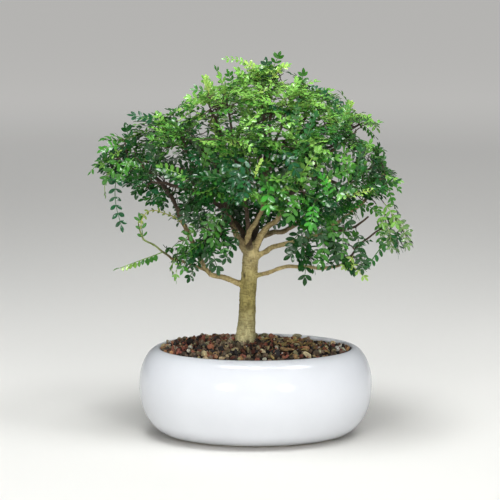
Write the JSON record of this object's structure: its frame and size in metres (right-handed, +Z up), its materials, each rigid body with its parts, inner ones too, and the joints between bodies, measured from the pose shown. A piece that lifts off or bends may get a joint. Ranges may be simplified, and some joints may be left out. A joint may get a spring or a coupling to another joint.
{
  "type": "japanese pepper bonsai in a pot",
  "caption": "Small umbrella-shaped pepper tree with feathery green leaves and a slim bare trunk, growing in dark granular soil in a low white oval pot.",
  "frame": {"origin": "centre of the outer box's underside, on the surface that the pot stands on; the pot's own centre is 4.4 mm to the right of it and 4.6 mm in front", "axes": "+Z up; +X to the right seen from the front; +Y to the back"},
  "size_m": [0.2942, 0.2419, 0.346],
  "materials": {
    "white_glaze": "smooth glossy white glaze",
    "screen_plastic": "black plastic mesh",
    "soil_mix": "loose dark red and brown lava and pumice grains",
    "bark": "smooth grey-tan bark with fine rings and pruning scars",
    "tan_pumice": "rough pumice",
    "green_stone": "rough grain with a green tint",
    "bark_chip": "rough splinter of pine bark",
    "leaf_mid_green": "glossy mid-green leaves",
    "leaf_deep_green": "glossy dark green leaves in the shade",
    "leaf_young_green": "young bright green leaves"
  },
  "bodies": {
    "root": {"bark_chip": "bark_chip", "drain_screen_left": "screen_plastic", "drain_screen_right": "screen_plastic", "green_stone": "green_stone", "leaf_crown_left_tip": "leaf_mid_green", "leaf_left_hanging": "leaf_mid_green", "leaf_left_hanging_inner": "leaf_mid_green", "leaf_left_shoot_end": "leaf_mid_green", "leaf_left_shoot_long": "leaf_mid_green", "leaf_left_tip": "leaf_mid_green", "leaf_low_left": "leaf_mid_green", "leaf_low_right": "leaf_mid_green", "leaf_low_right_inner": "leaf_mid_green", "leaf_right_tip": "leaf_mid_green", "leaf_top_tip": "leaf_mid_green", "leaves_back_left": "leaf_deep_green", "leaves_back_middle": "leaf_deep_green", "leaves_back_right": "leaf_deep_green", "leaves_crown_apex": "leaf_young_green", "leaves_crown_back": "leaf_young_green", "leaves_crown_front_left": "leaf_young_green", "leaves_crown_front_right": "leaf_young_green", "leaves_crown_left": "leaf_young_green", "leaves_crown_right": "leaf_young_green", "leaves_front_left": "leaf_mid_green", "leaves_front_middle": "leaf_mid_green", "leaves_front_right": "leaf_mid_green", "leaves_inner_left": "leaf_deep_green", "leaves_inner_low": "leaf_deep_green", "leaves_inner_right": "leaf_deep_green", "leaves_left_back": "leaf_mid_green", "leaves_left_far": "leaf_young_green", "leaves_left_front": "leaf_mid_green", "leaves_low_back_left": "leaf_deep_green", "leaves_low_back_right": "leaf_deep_green", "leaves_low_left_inner": "leaf_mid_green", "leaves_low_left_outer": "leaf_mid_green", "leaves_low_right": "leaf_mid_green", "leaves_low_right_far": "leaf_mid_green", "leaves_low_right_inner": "leaf_mid_green", "leaves_right_back": "leaf_mid_green", "leaves_right_far": "leaf_mid_green", "leaves_right_front": "leaf_mid_green", "leaves_upper_back": "leaf_mid_green", "leaves_upper_front": "leaf_mid_green", "leaves_upper_front_right": "leaf_mid_green", "leaves_upper_left": "leaf_mid_green", "leaves_upper_left_back": "leaf_mid_green", "leaves_upper_left_front": "leaf_mid_green", "leaves_upper_right": "leaf_mid_green", "leaves_upper_right_back": "leaf_mid_green", "leaves_upper_right_front": "leaf_mid_green", "pot": "white_glaze", "soil": "soil_mix", "tan_stone": "tan_pumice", "trunk_and_branches": "bark"}
  },
  "joints": []
}
